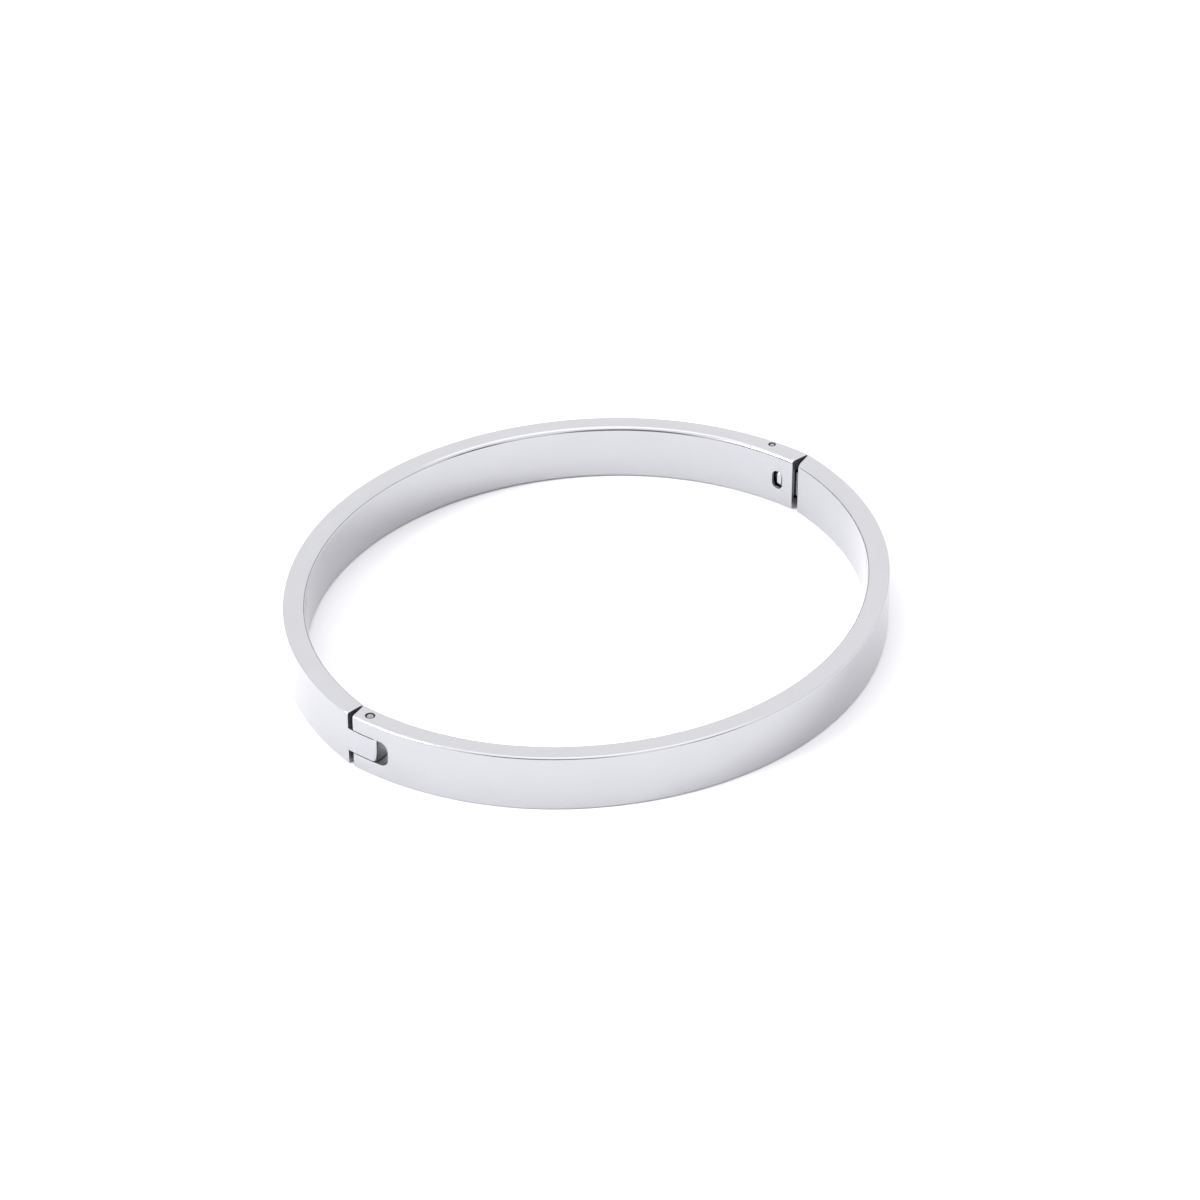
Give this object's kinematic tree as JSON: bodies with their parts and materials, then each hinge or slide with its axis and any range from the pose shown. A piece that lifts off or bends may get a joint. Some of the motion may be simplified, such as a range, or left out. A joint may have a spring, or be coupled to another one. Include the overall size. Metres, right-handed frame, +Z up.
{
  "type": "bangle bracelet",
  "caption": "Plain polished steel oval bangle in two curved halves, with a pinned hinge at one end of the oval and a spring-tongue snap clasp at the other.",
  "frame": {"origin": "bottom centre of the closed bangle's box: the middle of the oval, in the plane that the lower edge rests on", "axes": "+X along the long axis of the oval, from the hinge to the clasp; +Y towards the fixed back half; +Z up, across the height of the band"},
  "size_m": [0.0644, 0.0572, 0.006],
  "materials": {
    "polished_steel": "high polish on stainless steel, with very fine wiping scratches",
    "pin_steel": "drawn stainless wire, cut and chamfered, satin",
    "spring_steel": "rolled spring strip, satin"
  },
  "bodies": {
    "back": {"back_half": "polished_steel", "stop_pin": "pin_steel"},
    "front": {"front_half": "polished_steel", "hinge_pin": "pin_steel", "spring_tongue": "spring_steel"}
  },
  "joints": [
    {"name": "hinge_swing", "type": "hinge", "parent": "back", "child": "front", "pos_m": [-0.03092, -0.0016, 0.003], "axis": [0, 0, -1], "range_deg": [0, 90], "deforming": ["spring_tongue"]}
  ]
}
